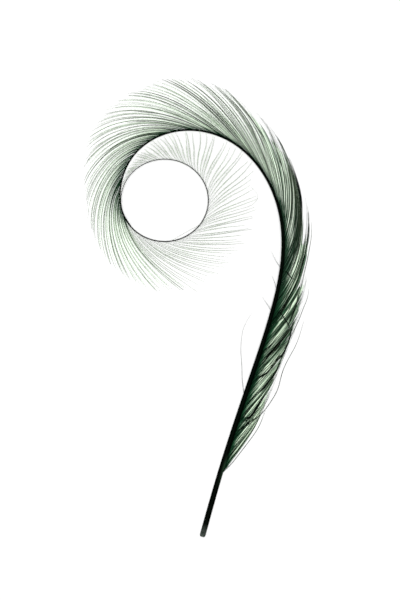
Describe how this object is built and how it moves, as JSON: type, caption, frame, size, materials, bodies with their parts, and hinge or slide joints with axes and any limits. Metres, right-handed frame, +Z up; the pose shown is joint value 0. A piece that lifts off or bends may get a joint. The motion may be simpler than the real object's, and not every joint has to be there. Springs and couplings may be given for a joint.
{
  "type": "curled feather",
  "caption": "Long curled tail feather laid flat: a bare quill, a shaft with barbs on its outer side only, and a tip coiled into a ring; for display and trimming.",
  "frame": {"origin": "on the surface the feather lies on, under the middle of its outline", "axes": "+Z up out of the surface, +Y from the quill towards the top of the curl, +X towards the side that carries the barbs on the straight stretch"},
  "size_m": [0.0749, 0.1521, 0.0036],
  "materials": {
    "keratin": "near-black green keratin with a soft sheen, paler grey-green where the barbs are thin"
  },
  "bodies": {
    "root": {"feather": "keratin"}
  },
  "joints": []
}
